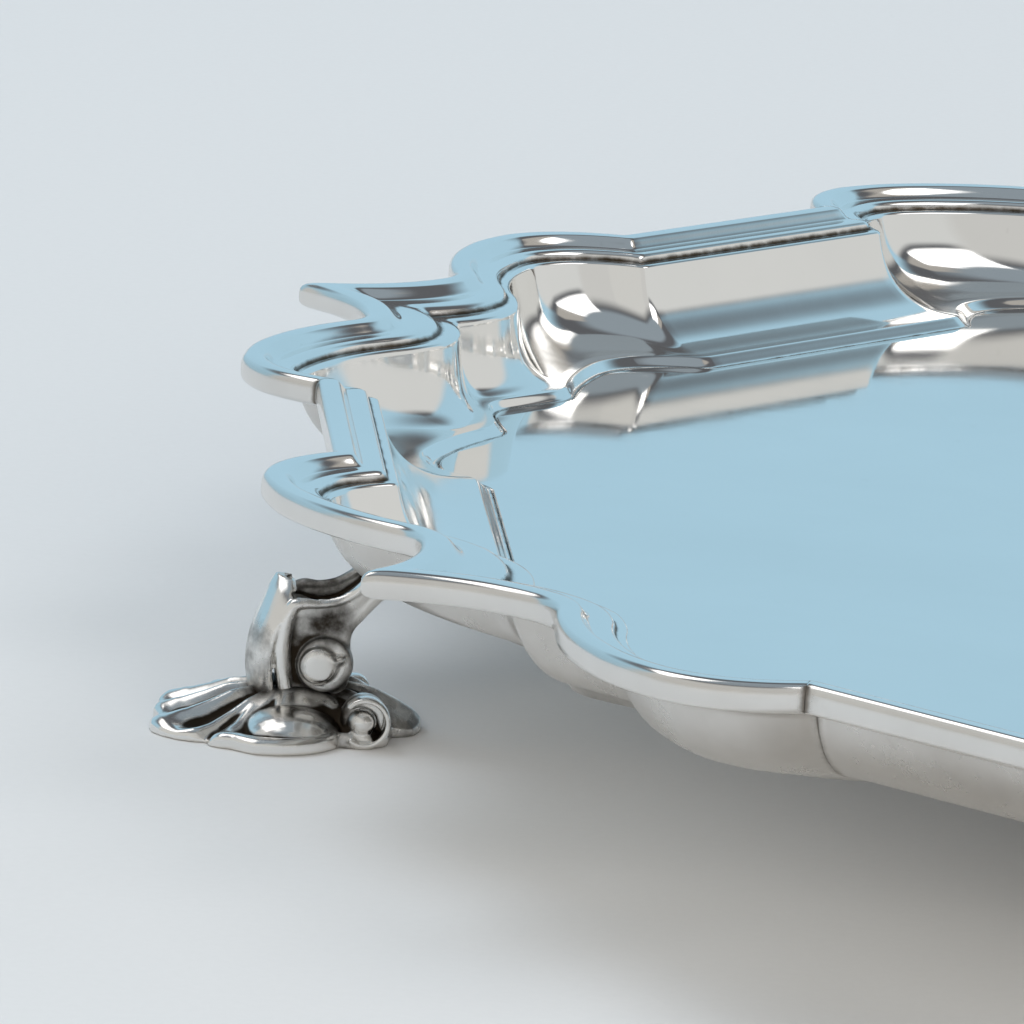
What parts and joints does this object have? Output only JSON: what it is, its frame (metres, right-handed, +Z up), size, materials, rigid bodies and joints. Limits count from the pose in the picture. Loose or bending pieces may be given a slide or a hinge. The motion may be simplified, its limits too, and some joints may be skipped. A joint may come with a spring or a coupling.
{
  "type": "footed salver",
  "caption": "Round silver serving salver: flat field inside a shaped, moulded, dished border, raised on scroll feet with shell pads.",
  "frame": {"origin": "on the ground, under the middle of the tray", "axes": "+Z up; +X and -X, +Y and -Y point at the feet"},
  "size_m": [0.3608, 0.3608, 0.0305],
  "materials": {
    "polished_silver": "mirror-polished silver with fine wiping scratches and dark tarnish in the grooves and joints",
    "cast_silver": "polished cast silver, softer shine, black-brown tarnish in the recesses"
  },
  "bodies": {
    "root": {"tray_plate": "polished_silver", "border_section_1": "polished_silver", "border_section_2": "polished_silver", "border_section_3": "polished_silver", "border_section_4": "polished_silver", "border_section_5": "polished_silver", "border_section_6": "polished_silver", "border_section_7": "polished_silver", "border_section_8": "polished_silver", "foot_leg_1": "cast_silver", "foot_pad_1": "cast_silver", "foot_leg_2": "cast_silver", "foot_pad_2": "cast_silver", "foot_leg_3": "cast_silver", "foot_pad_3": "cast_silver", "foot_leg_4": "cast_silver", "foot_pad_4": "cast_silver"}
  },
  "joints": []
}
